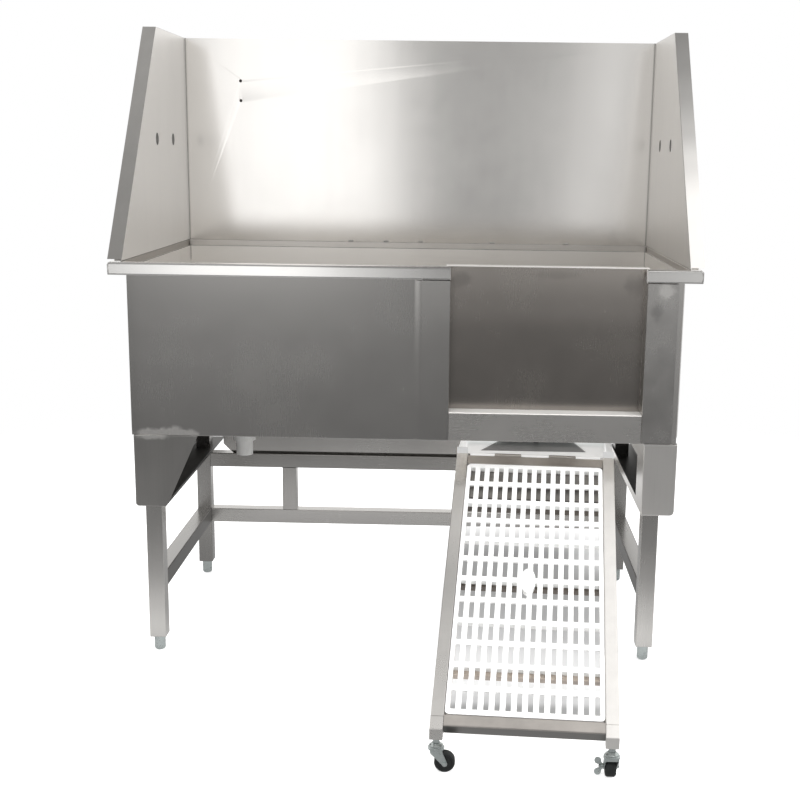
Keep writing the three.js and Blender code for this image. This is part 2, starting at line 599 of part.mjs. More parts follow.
// The tread is a moulded grate of slots with a solid pad in the middle. The rows come in pairs, and
// the ribs inside a pair are thinner than the others.
function makeGrate(group, [low, high], half) {
  const { columns, rows, slotWidth, slotLength, thickness, thinRib } = GRATE;
  const pitchX = (2 * half) / (columns + 0.3);
  const pitchY = (high - low) / (rows + 0.2);
  const slots = [];
  for (let row = 0; row < rows; row += 1) {
    for (let column = 0; column < columns; column += 1) {
      const x = (column - (columns - 1) / 2) * pitchX;
      const y = (low + high) / 2 + (row - (rows - 1) / 2) * pitchY;
      const across = [x - slotWidth / 2, x + slotWidth / 2];
      const along = [y - slotLength / 2, y + slotLength / 2];
      slots.push(box(across, along, [RAMP.above - thickness - 1, RAMP.above + 1]));
      if (row % 2 === 0) {
        slots.push(box(across, [y, y + pitchY], [RAMP.above - thickness - 1, RAMP.above - thinRib]));
      }
    }
  }
  const outline = rounded([-half, half], [low, high], [8, 8, 8, 8]);
  const deep = [RAMP.above - thickness, RAMP.above];
  const oval = Array.from({ length: 16 }, (_, k) => {
    const angle = (k * Math.PI) / 8;
    return [PAD.x + PAD.halfWidth * Math.cos(angle), (low + high) / 2 + PAD.halfLength * Math.sin(angle)];
  });
  const tread = cut(prism('z', outline, deep), ...slots);
  add(group, 'ramp_grate', join(tread, prism('z', oval, deep)), plastic());
}

// ---------------------------------------------------------------- casters

// The height of a rail's lower tip above the floor, with the ramp standing on its casters.
const TIP_Z = PIVOT.z - RAMP.length * Math.sin(RAMP_TILT) + RAMP.above * Math.cos(RAMP_TILT);

// An upright body placed at the lower tip of a rail, in the ramp's own tilted frame.
function atTip(body, x) {
  return body.rotate([-THREE.MathUtils.radToDeg(RAMP_TILT), 0, 0]).translate([x, -RAMP.length, RAMP.above]);
}

// The upright box a rail runs into at its lower end, wider all round by the clearance.
function upright(x, clearance = 0) {
  const { bar } = RAMP;
  const wide = [-bar / 2 - clearance, bar / 2 + clearance];
  return atTip(box(wide, [-clearance, bar + clearance], [SOCKET.bottom - TIP_Z - clearance, bar]), x);
}

// The socket that ends a rail: upright, bored for the caster's stem, its top flush with the rail.
function makeSocket(group, side, x) {
  const { bar, above, length } = RAMP;
  const foot = SOCKET.bottom - TIP_Z;
  const hole = atTip(rod('z', [0, bar / 2], SOCKET.stemHole, [foot - 1, foot + SOCKET.holeDepth], 16), x);
  const over = box([x - bar, x + bar], [-length - bar, -length + 3 * bar], [above, above + 3 * bar]);
  add(group, `caster_socket_${side}`, cut(upright(x), hole, over), steel(0.6));
}

// The stem and its jam nut stand still; the fork turns under them.
function makeStem(group, side) {
  const stem = join(
    rod('z', [0, 0], 4, [CASTER.headTop + GAP, SOCKET.bottom + 13], 16),
    rod('z', [0, 0], 7, [CASTER.headTop + GAP, SOCKET.bottom - GAP], 6),
  );
  add(group, `caster_stem_${side}`, stem, zinc());
}

const CHEEK_INSIDE = CASTER.width / 2 + 1.5; // from the wheel's middle to a cheek's inner face

// A swivel fork: a domed head, and two cheeks that lean back to the axle. It trails along +X.
function makeFork(group, side) {
  const { radius, trail, headTop, headRadius, cheek, axle } = CASTER;
  const inside = CHEEK_INSIDE;
  const head = turned([0, 0], [
    [0, 43], [headRadius - 1, 43], [headRadius, 44.5], [headRadius, 48], [headRadius - 1, 49.3],
    [headRadius - 2, 49.6], [headRadius - 2.5, 52], [9.5, headTop - 2], [8, headTop], [0, headTop],
  ], 24);
  const leaf = [
    [-11, 46], [-11, 40], [trail - 5.5, radius - 1.5], [trail - 3, radius - 5], [trail, radius - 6],
    [trail + 3.5, radius - 5], [trail + 5.5, radius - 1], [12, 42], [12, 46],
  ];
  const cheeks = [-1, 1].map((sign) => {
    const faces = [sign * inside, sign * (inside + cheek)].sort((a, b) => a - b);
    const bore = rod('y', [trail, radius], axle + GAP, [faces[0] - 1, faces[1] + 1], 16);
    return cut(prism('y', leaf, faces), bore);
  });
  const bridge = box([-11, 12], [-inside - cheek, inside + cheek], [41, 44]);
  add(group, `caster_fork_${side}`, join(head, bridge, ...cheeks), zinc());
}

// The axle bolt, with room for anything that turns on its far end.
function makeAxle(group, side, room) {
  const { radius, trail, cheek, axle } = CASTER;
  const face = CHEEK_INSIDE + cheek + GAP;
  const bolt = join(
    rod('y', [trail, radius], axle, [-face - 3, face + room + 3], 16),
    rod('y', [trail, radius], 4, [-face - 3, -face], 6),
    rod('y', [trail, radius], 4, [face + room, face + room + 3], 6),
  );
  add(group, `caster_axle_${side}`, bolt, zinc());
}

function makeWheel(group, side) {
  const { radius, width, trail, axle } = CASTER;
  const bore = axle + GAP;
  const half = width / 2;
  const profile = [
    [bore, -half - 0.8], [6, -half - 0.8], [6, -half + 1.5], [radius - 6, -half + 1.5], [radius - 5, -half],
    [radius - 2, -half], [radius, -half + 3], [radius, half - 3], [radius - 2, half], [radius - 5, half],
    [radius - 6, half - 1.5], [6, half - 1.5], [6, half + 0.8], [bore, half + 0.8], [bore, -half - 0.8],
  ];
  const wheel = turned([0, 0], profile, 32).rotate([90, 0, 0]).translate([trail, 0, radius]);
  add(group, `caster_wheel_${side}`, wheel, rubber());
}

// A wing lever on the end of the axle. Its two round wings lean outwards, edge on to the wheel.
function makeBrake(group) {
  const { radius, trail, cheek, axle } = CASTER;
  const { hub, length, lobe, out, reach, thickness } = BRAKE;
  const start = CHEEK_INSIDE + cheek + GAP;
  const round = Array.from({ length: 11 }, (_, k) => {
    const angle = THREE.MathUtils.degToRad(190 - 25 * k);
    return [out + lobe * Math.cos(angle), reach + lobe * Math.sin(angle)];
  });
  const wing = (sign) => {
    const outline = [[0.5, 2], ...round, [length - 0.5, 2]].map(([y, z]) => [y, sign * z]);
    return prism('x', outline, [-thickness / 2, thickness / 2]);
  };
  const body = rod('y', [0, 0], hub, [0, length], 16);
  const bore = rod('y', [0, 0], axle + GAP, [-1, length + 1], 16);
  const headRoom = rod('y', [0, 0], 4 + GAP, [length, 3 * length], 16);
  const lever = cut(join(body, wing(1), wing(-1)), bore, headRoom);
  add(group, 'brake_lever', lever.translate([trail, start, radius]), zinc());
}

// ---------------------------------------------------------------- assembly

const tub = new THREE.Group();
const frame = new THREE.Group();
tub.add(frame);

makeBasin(frame);
makeRim(frame);
makeBacksplash(frame);
makeGuard(frame, -1);
makeGuard(frame, 1);
makePosts(frame);
makeJambs(frame);
makeSill(frame);
makeDoor(frame);
makeDrain(frame);
makeLegs(frame);
for (const [name, x, y] of LEG_SPOTS) makeFoot(frame, name, x, y);
makeRails(frame);
makeStiffener(frame);
makeGussets(frame);
makeSlides(frame);
makeRunner(frame);

const rampSwing = new THREE.Group();
rampSwing.position.set(PIVOT.x, PIVOT.y, PIVOT.z);
rampSwing.rotation.z = -RAMP_YAW;
frame.add(rampSwing);
makeTray(rampSwing);
makeBolt(rampSwing);

const ramp = new THREE.Group();
ramp.rotation.x = RAMP_TILT;
rampSwing.add(ramp);
makeRamp(ramp);

// Each caster hangs upright from its socket; the left one trails to the right, the right one back.
ramp.updateWorldMatrix(true, false);
for (const [side, sign, heading] of [['left', -1, 0], ['right', 1, Math.PI / 2]]) {
  const { halfWidth, bar, length, above } = RAMP;
  const stand = new THREE.Group();
  ramp.localToWorld(stand.position.set(sign * (halfWidth - bar / 2), -length, above));
  stand.position.x += (Math.sin(RAMP_YAW) * bar) / 2;
  stand.position.y += (Math.cos(RAMP_YAW) * bar) / 2;
  stand.position.z = 0;
  frame.add(stand);
  makeStem(stand, side);
  const swivel = new THREE.Group();
  swivel.rotation.z = heading;
  stand.add(swivel);
  makeFork(swivel, side);
  makeWheel(swivel, side);
  makeAxle(swivel, side, side === 'right' ? BRAKE.length + GAP : 0);
  if (side === 'right') makeBrake(swivel);
}

// The origin is on the floor, at the middle of the footprint.
const footprint = new THREE.Box3().setFromObject(frame, true);
frame.position.set(-(footprint.min.x + footprint.max.x) / 2, -(footprint.min.y + footprint.max.y) / 2, 0);

export default tub;
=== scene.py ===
import json
import math

import bmesh
import bpy
from mathutils import Matrix, Vector


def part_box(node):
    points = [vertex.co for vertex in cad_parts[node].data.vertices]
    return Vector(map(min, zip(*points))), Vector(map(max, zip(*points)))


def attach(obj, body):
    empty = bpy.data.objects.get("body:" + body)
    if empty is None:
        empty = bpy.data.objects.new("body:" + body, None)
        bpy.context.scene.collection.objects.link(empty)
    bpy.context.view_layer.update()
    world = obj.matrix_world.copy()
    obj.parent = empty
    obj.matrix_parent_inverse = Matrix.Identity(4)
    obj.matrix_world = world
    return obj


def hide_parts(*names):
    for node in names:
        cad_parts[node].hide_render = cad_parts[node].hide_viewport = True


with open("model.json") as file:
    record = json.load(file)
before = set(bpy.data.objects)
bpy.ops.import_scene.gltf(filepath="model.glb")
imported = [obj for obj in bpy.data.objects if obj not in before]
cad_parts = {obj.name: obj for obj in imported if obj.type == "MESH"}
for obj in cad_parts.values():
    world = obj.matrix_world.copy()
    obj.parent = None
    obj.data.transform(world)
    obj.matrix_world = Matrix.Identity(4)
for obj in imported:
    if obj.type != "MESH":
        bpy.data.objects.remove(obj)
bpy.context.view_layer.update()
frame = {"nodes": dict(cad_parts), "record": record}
NODES = frame["nodes"]
SCENE = bpy.context.scene

# The tub's own coordinates: millimetres, x to the right of its middle, y back from its middle with the
# front rim's face at -350, and z up from the floor.
MM = 0.001
FACE_Y = -350
RIM_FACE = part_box("rim_front_left")[0].y


def at(x, y, z):
    """A place in metres in the frame, from the tub's own millimetres."""
    return Vector((x * MM, RIM_FACE + (y - FACE_Y) * MM, z * MM))


def add_object(name, data):
    made = bpy.data.objects.new(name, data)
    SCENE.collection.objects.link(made)
    return made


# ---------------------------------------------------------------- camera

EYE = (130.2, -3098.4, 1129.8)
YAW, PITCH, ROLL = -1.22, -12.0, 0.78
LENS = 58.2165
LENS_SHIFT = (-0.044625, 0.030125)


def make_camera():
    """Stands at EYE, in the tub's millimetres, and is turned by degrees right, up and about its view."""
    data = bpy.data.cameras.new("photo_camera")
    data.sensor_width = 36
    data.lens = LENS
    data.shift_x, data.shift_y = LENS_SHIFT
    data.clip_start = 0.05
    data.clip_end = 60
    camera = add_object("photo_camera", data)
    yaw, pitch, roll = (math.radians(angle) for angle in (YAW, PITCH, ROLL))
    forward = Vector((math.sin(yaw) * math.cos(pitch), math.cos(yaw) * math.cos(pitch), math.sin(pitch)))
    level = Vector((math.cos(yaw), -math.sin(yaw), 0))
    up = level.cross(forward)
    right = level * math.cos(roll) + up * math.sin(roll)
    top = up * math.cos(roll) - level * math.sin(roll)
    turn = Matrix((right, top, -forward)).transposed()
    camera.matrix_world = Matrix.Translation(at(*EYE)) @ turn.to_4x4()
    SCENE.camera = camera


make_camera()

# ---------------------------------------------------------------- node helpers

def new_material(name):
    material = bpy.data.materials.new(name)
    material.use_nodes = True
    material.node_tree.nodes.clear()
    return material, material.node_tree


class Graph:
    """A small helper that adds shader nodes and joins them."""

    def __init__(self, tree):
        self.tree = tree

    def node(self, kind, inputs=None, **settings):
        made = self.tree.nodes.new(kind)
        for key, value in settings.items():
            setattr(made, key, value)
        for key, value in (inputs or {}).items():
            self.feed(made.inputs[key], value)
        return made

    def feed(self, socket, value):
        if isinstance(value, bpy.types.NodeSocket):
            self.tree.links.new(value, socket)
        else:
            socket.default_value = value

    def math(self, operation, a, b=0.0, c=0.0):
        return self.node("ShaderNodeMath", {0: a, 1: b, 2: c}, operation=operation).outputs[0]

    def place(self):
        """Metres in the tub's own coordinates; every piece is modelled in place."""
        raw = self.node("ShaderNodeTexCoord").outputs["Object"]
        return self.node("ShaderNodeMapping", {"Vector": raw, "Location": -at(0, 0, 0)}).outputs[0]

    def along(self, vector, axis, points):
        """A factor that follows one coordinate, from (millimetres, factor) points."""
        low, high = points[0][0], points[-1][0]
        value = self.split(vector)["XYZ".index(axis.upper())]
        inputs = {"Value": value, "From Min": low * MM, "From Max": high * MM}
        share = self.node("ShaderNodeMapRange", inputs).outputs[0]
        top = max(factor for _, factor in points)
        stops = [((spot - low) / (high - low), (factor / top,) * 3) for spot, factor in points]
        colour = self.ramp(share, stops, smooth=True)
        return self.math("MULTIPLY", self.node("ShaderNodeRGBToBW", {0: colour}).outputs[0], top)

    def blotch(self, vector, x, z, wide, high, gain):
        """A factor that is 1 away from a spot and gain at its middle, with a ragged edge. wide and high
        are half its size, and all four sizes are in the tub's millimetres."""
        ragged = self.math("MULTIPLY", self.math("SUBTRACT", self.noise(vector, RAGGED, 4, 0.6), 0.5), 1.4)
        parts = self.split(vector)
        across = self.math("DIVIDE", self.math("SUBTRACT", parts["X"], x * MM), wide * MM)
        up = self.math("DIVIDE", self.math("SUBTRACT", parts["Z"], z * MM), high * MM)
        squares = [self.math("MULTIPLY", value, value) for value in (across, up)]
        reach = self.math("SQRT", self.math("ADD", *squares))
        return self.band(self.math("ADD", reach, ragged), 1.1, 0.3, 1.0, gain)

    def product(self, values):
        total = values[0]
        for value in values[1:]:
            total = self.math("MULTIPLY", total, value)
        return total

    def stretch(self, vector, scale):
        return self.node("ShaderNodeMapping", {"Vector": vector, "Scale": scale}).outputs[0]

    def noise(self, vector, scale, detail, roughness=0.5):
        inputs = {"Vector": vector, "Scale": scale, "Detail": detail, "Roughness": roughness}
        return self.node("ShaderNodeTexNoise", inputs).outputs["Fac"]

    def ramp(self, factor, stops, smooth=False):
        """A colour that follows a factor, from (factor, colour) stops."""
        made = self.node("ShaderNodeValToRGB", {"Fac": factor})
        made.color_ramp.interpolation = "EASE" if smooth else "LINEAR"
        points = made.color_ramp.elements
        while len(points) < len(stops):
            points.new(0.5)
        for point, (position, colour) in zip(points, stops):
            point.position = position
            point.color = (*colour, 1)
        return made.outputs["Color"]

    def band(self, value, low, high, to_low=0.0, to_high=1.0):
        """A factor that goes smoothly from to_low to to_high as value goes from low to high."""
        inputs = {"Value": value, "From Min": low, "From Max": high, "To Min": to_low, "To Max": to_high}
        return self.node("ShaderNodeMapRange", inputs, interpolation_type="SMOOTHSTEP").outputs[0]

    def mix(self, factor, a, b):
        """Colour a where factor is 0 and colour b where it is 1."""
        made = self.node("ShaderNodeMix", data_type="RGBA")
        self.feed(made.inputs["Factor"], factor)
        for index, value in ((6, a), (7, b)):
            if not isinstance(value, bpy.types.NodeSocket) and len(value) == 3:
                value = (*value, 1)
            self.feed(made.inputs[index], value)
        return made.outputs[2]

    def split(self, vector):
        return self.node("ShaderNodeSeparateXYZ", {0: vector}).outputs

    def bump(self, height, strength, distance):
        inputs = {"Height": height, "Strength": strength, "Distance": distance}
        return self.node("ShaderNodeBump", inputs).outputs[0]

    def emit(self, strength):
        return self.node("ShaderNodeEmission", {"Color": (1, 1, 1, 1), "Strength": strength}).outputs[0]

    def blend(self, factor, a, b):
        """Shader a where factor is 0 and shader b where it is 1."""
        return self.node("ShaderNodeMixShader", {0: factor, 1: a, 2: b}).outputs[0]

    def show(self, shader, kind="Material"):
        output = self.node(f"ShaderNodeOutput{kind}")
        self.tree.links.new(shader, output.inputs["Surface"])

    def finish(self, colour, metallic, roughness, normal=None, glow=None, **fixed):
        shader = self.node("ShaderNodeBsdfPrincipled")
        self.feed(shader.inputs["Base Color"], colour if not isinstance(colour, tuple) else (*colour, 1))
        shader.inputs["Metallic"].default_value = metallic
        self.feed(shader.inputs["Roughness"], roughness)
        for key, value in fixed.items():
            shader.inputs[key.replace("_", " ")].default_value = value
        if normal is not None:
            self.feed(shader.inputs["Normal"], normal)
        if glow is not None:
            self.feed(shader.inputs["Emission Color"], glow)
        self.show(shader.outputs[0])


# The noise scales of a brushed sheet: its fine lines, its broad bands, and the edges of its blotches.
FINE, BROAD, RAGGED = 900, 26, 45
DRAWN = 0.012  # how much a brush mark is drawn out along its grain
BRIGHTEST = 0.97
STEEL_TINT = (1.0, 0.975, 0.94)
BROWNISH = (1.0, 0.94, 0.88)


def brushed(name, tone, grain, rough=0.3, contrast=0.06, stains=0.06, shade=(), tint=STEEL_TINT, turn=None,
            cloud_size=5.5, metallic=1.0, relief=0.03, patches=()):
    """Brushed stainless sheet. grain names the axis that the brush marks run along, and shade lists (axis,
    points) of painted light and shade that lighten or darken it along the tub's axes. patches lists blotches
    that lighten or darken it, each as (x, z, half width, half height, gain) in the tub's millimetres:
    handling marks, heat marks and painted reflections."""
    material, tree = new_material(name)
    g = Graph(tree)
    place = g.place()
    lay = place
    if turn is not None:
        lay = g.node("ShaderNodeMapping", {"Vector": place, "Rotation": turn}).outputs[0]
    along = {"x": (DRAWN, 1, 1), "y": (1, DRAWN, 1), "z": (1, 1, DRAWN)}[grain]
    lines = g.noise(g.stretch(lay, along), FINE, 3, 0.6)
    broad = g.noise(g.stretch(lay, tuple(share ** 0.6 for share in along)), BROAD, 4, 0.6)
    cloud = g.noise(place, cloud_size, 4, 0.6)
    wave = g.math("MULTIPLY_ADD", g.math("SUBTRACT", lines, 0.5), contrast * 2, 1.0)
    wave = g.math("ADD", wave, g.math("MULTIPLY", g.math("SUBTRACT", broad, 0.5), contrast * 3))
    wave = g.math("ADD", wave, g.math("MULTIPLY", g.math("SUBTRACT", cloud, 0.5), stains * 3))
    factors = [wave, tone] + [g.along(place, axis, points) for axis, points in shade]
    factors += [g.blotch(place, *patch) for patch in patches]
    level = g.math("MINIMUM", g.product(factors), BRIGHTEST)
    colour = g.mix(level, (0, 0, 0), tint)
    clouded = g.math("MULTIPLY_ADD", cloud, 0.12, rough - 0.08)
    roughness = g.math("ADD", g.math("MULTIPLY", lines, 0.04), clouded)
    normal = g.bump(lines, relief, 0.0004) if relief else None
    g.finish(colour, metallic, roughness, normal)
    return material


def mottled(name, colour, metallic, mottle, rough, scales, grain):
    """A colour that is uneven by a share of itself. rough is its least roughness and how much more it
    has in places, scales are those of its clouds and its grain, and grain is the bump's strength."""
    material, tree = new_material(name)
    g = Graph(tree)
    place = g.place()
    cloud = g.noise(place, scales[0], 4, 0.6)
    fine = g.noise(place, scales[1], 2)
    low = tuple(part * (1 - mottle) for part in colour)
    high = tuple(min(1, part * (1 + mottle)) for part in colour)
    shade = g.ramp(cloud, [(0.3, low), (0.7, high)])
    roughness = g.math("MULTIPLY_ADD", cloud, rough[1], rough[0])
    g.finish(shade, metallic, roughness, g.bump(fine, grain, 0.0003))
    return material


def metal(name, colour, rough):
    return mottled(name, colour, 1.0, 0.15, (rough - 0.1, 0.2), (60, 720), 0.1)


def dielectric(name, colour, rough, mottle=0.05):
    return mottled(name, colour, 0.0, mottle, (rough - 0.07, 0.15), (80, 1600), 0.08)


ZINC = metal("zinc_plate", (0.62, 0.67, 0.66), 0.28)
WHITE = dielectric("white_moulding", (0.88, 0.88, 0.865), 0.42)
TYRE = dielectric("black_rubber", (0.018, 0.02, 0.02), 0.62, 0.3)
GRATE = dielectric("white_grate", (0.95, 0.95, 0.94), 0.42, 0.02)

# Painted light and shade: how light each sheet or tube is painted along one of the tub's axes, as
# (millimetres, factor) points.
SHEET_SHADE = ("z", [(508, 1.0), (665, 1.0), (740, 0.92), (815, 0.87), (870, 0.87)])
HEM_SHADE = ("z", [(885, 1.6), (1020, 1.55), (1110, 1.15), (1180, 0.8), (1260, 0.58), (1330, 0.46),
                   (1403, 0.4)])
LEG_SHADE = ("z", [(35, 1.2), (120, 1.0), (200, 0.88), (300, 0.82), (510, 0.82)])
RAIL_SHADE = ("z", [(60, 0.85), (160, 0.72), (280, 0.6), (400, 0.95), (470, 1.0)])
STRIP_SHADE = ("x", [(-595, 0.94), (-560, 1.0), (582, 1.0), (584, 1.5), (595, 1.5)])
POST_SHADE = ("z", [(508, 1.0), (665, 1.0), (740, 0.98), (815, 1.1), (870, 1.15)])
FRONT_SHADE = ("x", [(-635, 1.0), (-260, 1.0), (-90, 0.78), (99, 0.7), (517, 0.7), (635, 0.8)])
SEAM_SHADE = ("x", [(-609, 0.3), (-606, 0.35), (-604, 1.0), (604, 1.0), (606, 0.35), (609, 0.3)])
BEARER_SHADE = ("z", [(60, 4.5), (190, 4.5), (240, 1.2), (330, 1.0), (460, 1.0)])
DOOR_SHADE = ("z", [(560, 1.02), (740, 0.97), (800, 1.2), (885, 1.55)])
# Blotches, each as (x, z, half width, half height, gain): handling marks on the door, heat marks and painted
# reflections on the right post, and lighter blotches by the weld at the top of the left bracket, on the
# basin's front and on the bracket.
DOOR_WEAR = [(120, 856, 30, 20, 0.8), (498, 850, 34, 28, 0.8), (330, 868, 60, 10, 0.9)]
POST_HEAT_AND_REFLECTIONS = [(556, 842, 22, 22, 1.45), (538, 800, 16, 26, 0.75), (565, 862, 20, 8, 0.7)]
CORNER_BLOTCHES = [(-560, 512, 40, 14, 2.2), (-505, 516, 30, 16, 2.4), (-470, 512, 24, 12, 2.0)]
BRACKET_BLOTCHES = [(-555, 505, 50, 8, 1.9)]

WALL = brushed("basin_inside", 0.97, "x", 0.32, metallic=0.89)
INNER_FRONT = brushed("basin_front_inside", 0.97, "x", 0.32, metallic=0.3)
BASIN_FLOOR = brushed("basin_floor_sheet", 0.75, "x", 0.3, stains=0.08)
OUTER = brushed("outer_sheet", 0.55, "z", 0.3, stains=0.08)
UNDERSIDE = brushed("basin_underside", 0.95, "x", 0.3)
PANEL = brushed("basin_front", 0.5, "z", 0.26, contrast=0.01, stains=0.06, relief=0,
                shade=[SHEET_SHADE, STRIP_SHADE], patches=CORNER_BLOTCHES)
SPLASH = brushed("backsplash_sheet", 0.95, "z", 0.18, contrast=0.02, stains=0.03, shade=[SEAM_SHADE])
# The two guards are one steel in two tones, the left one lighter: painted light and shade.
GUARD_LEFT = brushed("guard_sheet_left", 0.97, "z", 0.4, contrast=0.02, stains=0.03, metallic=0.8)
GUARD_RIGHT = brushed("guard_sheet_right", 0.82, "z", 0.4, contrast=0.02, stains=0.03)
# Hole and bore walls are painted darker than the sheet around them: painted shade inside them.
HOLE = brushed("hole_wall", 0.45, "z", 0.4)
HEM_LEFT = brushed("guard_hem_left", 0.6, "z", 0.3)
HEM_RIGHT = brushed("guard_hem_right", 0.6, "z", 0.3, contrast=0.02, stains=0.02, shade=[HEM_SHADE])
RIM = brushed("rim_sheet", 0.95, "x", 0.24, contrast=0.03, stains=0.03)
RIM_FRONT = brushed("front_rim_sheet", 0.97, "x", 0.24, contrast=0.02, stains=0.04, shade=[FRONT_SHADE],
                    tint=(1.0, 0.985, 0.96))
REAR_FACE = brushed("rear_rim_face", 0.9, "x", 0.3)
CAP = brushed("rim_end", 0.92, "z", 0.45, metallic=0.4)
# The side rims' sideways faces are painted darker and browner than their tops: painted shade.
WEDGE = brushed("rim_inner_face", 0.55, "y", 0.3, tint=BROWNISH)
# The two door posts are one steel in two tones, the right one lighter: painted light and shade.
POST_LEFT = brushed("post_sheet_left", 0.49, "z", 0.26, contrast=0.01, relief=0, shade=[POST_SHADE])
POST_RIGHT = brushed("post_sheet_right", 0.58, "z", 0.26, contrast=0.01, stains=0.14, cloud_size=14, relief=0,
                     patches=POST_HEAT_AND_REFLECTIONS)
SILL = brushed("sill_sheet", 0.78, "x", 0.28, contrast=0.01, relief=0)
DOOR = brushed("door_sheet", 0.33, "z", 0.26, contrast=0.01, stains=0.08, relief=0, cloud_size=8,
               shade=[DOOR_SHADE], tint=(1.0, 0.93, 0.86), patches=DOOR_WEAR)
INSIDE = brushed("hidden_sheet", 0.5, "z", 0.4)
# The legs, strut and rear rails are one tube steel in different tones: painted light on the front legs and
# the lower rail, painted shade on the rear legs and the upper rail.
LEG_FRONT = brushed("front_tube", 0.66, "z", 0.26, shade=[LEG_SHADE])
LEG_REAR = brushed("rear_tube", 0.4, "z", 0.26)
STRUT = brushed("strut_tube", 0.51, "z", 0.26)
RAIL_HIGH = brushed("upper_rail_tube", 0.42, "x", 0.26)
RAIL_LOW = brushed("lower_rail_tube", 0.58, "x", 0.26)
STIFFENER = brushed("stiffener_sheet", 0.6, "x", 0.26)
# The braces' side faces are painted much darker than their other faces: painted shade.
BRACE = brushed("brace_tube", 0.4, "y", 0.26)
BRACE_SIDE = brushed("brace_side", 0.12, "y", 0.3, tint=BROWNISH)
# The brackets' front faces are one sheet in two tones, the right one lighter, and their outer faces take a
# third: painted light and shade.
BRACKET_LEFT = brushed("bracket_sheet_left", 0.45, "z", 0.3, patches=BRACKET_BLOTCHES)
BRACKET_SIDE = brushed("bracket_side", 0.5, "y", 0.3)
BRACKET_RIGHT = brushed("bracket_sheet_right", 0.97, "z", 0.3)
# Each bracket's inside is painted near black: painted shade in its hollow.
BRACKET_INSIDE_SHADE = brushed("bracket_inside_painted_shade", 0.12, "z", 0.5)
WELD = brushed("weld_bead", 0.6, "x", 0.35, contrast=0.1, stains=0.25, cloud_size=60)
RAMP_TILT, RAMP_SWING = math.radians(31.9), math.radians(3.8)
SLOPE = (RAMP_TILT, 0, RAMP_SWING)
RAMP_STEEL = brushed("ramp_tube", 0.8, "y", 0.28, turn=SLOPE)
RAMP_LEFT = brushed("ramp_tube_left", 0.97, "y", 0.28, turn=SLOPE, shade=[RAIL_SHADE])
RAMP_RIGHT = brushed("ramp_tube_right", 0.93, "y", 0.3, turn=SLOPE, metallic=0.88)
BAR_TOP = brushed("ramp_bar_upper_face", 0.6, "x", 0.3, stains=0.18, tint=BROWNISH, cloud_size=18)
# The bottom bar's front and lower faces are painted darker than its top: painted shade.
BAR_FRONT = brushed("ramp_bar_front_face", 0.3, "x", 0.3)
# The bearers under the tread are painted dark brown: painted shade beneath the tread.
BEARER = brushed("bearer_tube", 0.15, "x", 0.4, stains=0.25, tint=(1.0, 0.88, 0.78), cloud_size=30,
                 shade=[BEARER_SHADE])
# A dark sheet under the tread's top end: painted shade seen through the first rows of slots.
SHADE_PLATE = brushed("shade_plate_sheet", 0.2, "x", 0.45, stains=0.3, tint=BROWNISH, cloud_size=26,
                    metallic=0.4)

# The dark patch on the tray, a painted reflection, in metres: the middle of its front edge's fade, the places
# of its left and right ends there with how far each moves with depth, and half the width of its soft edges.
TRAY_FRONT = -0.258
TRAY_LEFT, TRAY_RIGHT = (0.1703, 0.43), (0.4095, -0.2)
TRAY_SOFT = 0.004


def make_tray_material():
    """Bright sheet with a painted glow, but for a slanted dark patch on its upper face: a painted reflection
    of the space behind it."""
    material, tree = new_material("tray_sheet")
    g = Graph(tree)
    place = g.place()
    x, y, _ = g.split(place)
    back = g.math("ADD", y, -TRAY_FRONT)
    left = g.math("MULTIPLY_ADD", back, TRAY_LEFT[1], TRAY_LEFT[0])
    right = g.math("MULTIPLY_ADD", back, TRAY_RIGHT[1], TRAY_RIGHT[0])
    depths = [g.math("SUBTRACT", x, left), g.math("SUBTRACT", right, x), back]
    dark = g.product([g.band(depth, -TRAY_SOFT, TRAY_SOFT) for depth in depths])
    lines = g.noise(g.stretch(place, (DRAWN, 1, 1)), FINE, 3, 0.6)
    bright = g.ramp(lines, [(0.3, (0.9, 0.9, 0.89)), (0.7, (0.96, 0.96, 0.95))])
    colour = g.mix(dark, bright, (0.16, 0.16, 0.16))
    glow = g.mix(dark, (1, 1, 1), (0, 0, 0))
    g.finish(colour, 0.8, 0.3, g.bump(lines, 0.06, 0.0004), glow, Emission_Strength=0.3)
    return material


TRAY = make_tray_material()


def dress(obj, *materials):
    obj.data.materials.clear()
    for material in materials:
        obj.data.materials.append(material)


LOOKS = {
    "tub_steel": INSIDE, "frame_steel": LEG_REAR, "ramp_steel": RAMP_STEEL, "drain_steel": ZINC,
    "drain_plastic": WHITE, "zinc": ZINC, "grate_plastic": GRATE, "tyre_rubber": TYRE,
}
SLOTS = {part["node"]: part["material_slot"] for part in frame["record"]["subparts"]}
for node, obj in NODES.items():
    dress(obj, LOOKS[SLOTS[node]])

# ---------------------------------------------------------------- softened sheet and tube

BODY_OF = {node: body for body, nodes in frame["record"]["behaviour"]["bodies"].items() for node in nodes}

NARROW = 9  # a face thinner than this, in millimetres, is a sheet's edge and keeps its corners
SHORT = 12  # an edge shorter than this, in millimetres, keeps its corner
FLATTEST = math.radians(25)  # a fold turns by more than this
COPLANAR = math.radians(0.4)


def is_fold(edge):
    """Whether an edge is a convex fold between two wide faces."""
    if len(edge.link_faces) != 2 or edge.calc_length() < SHORT * MM:
        return False
    if edge.calc_face_angle_signed(0) < FLATTEST:
        return False
    return all(face.calc_area() / edge.calc_length() > NARROW * MM for face in edge.link_faces)


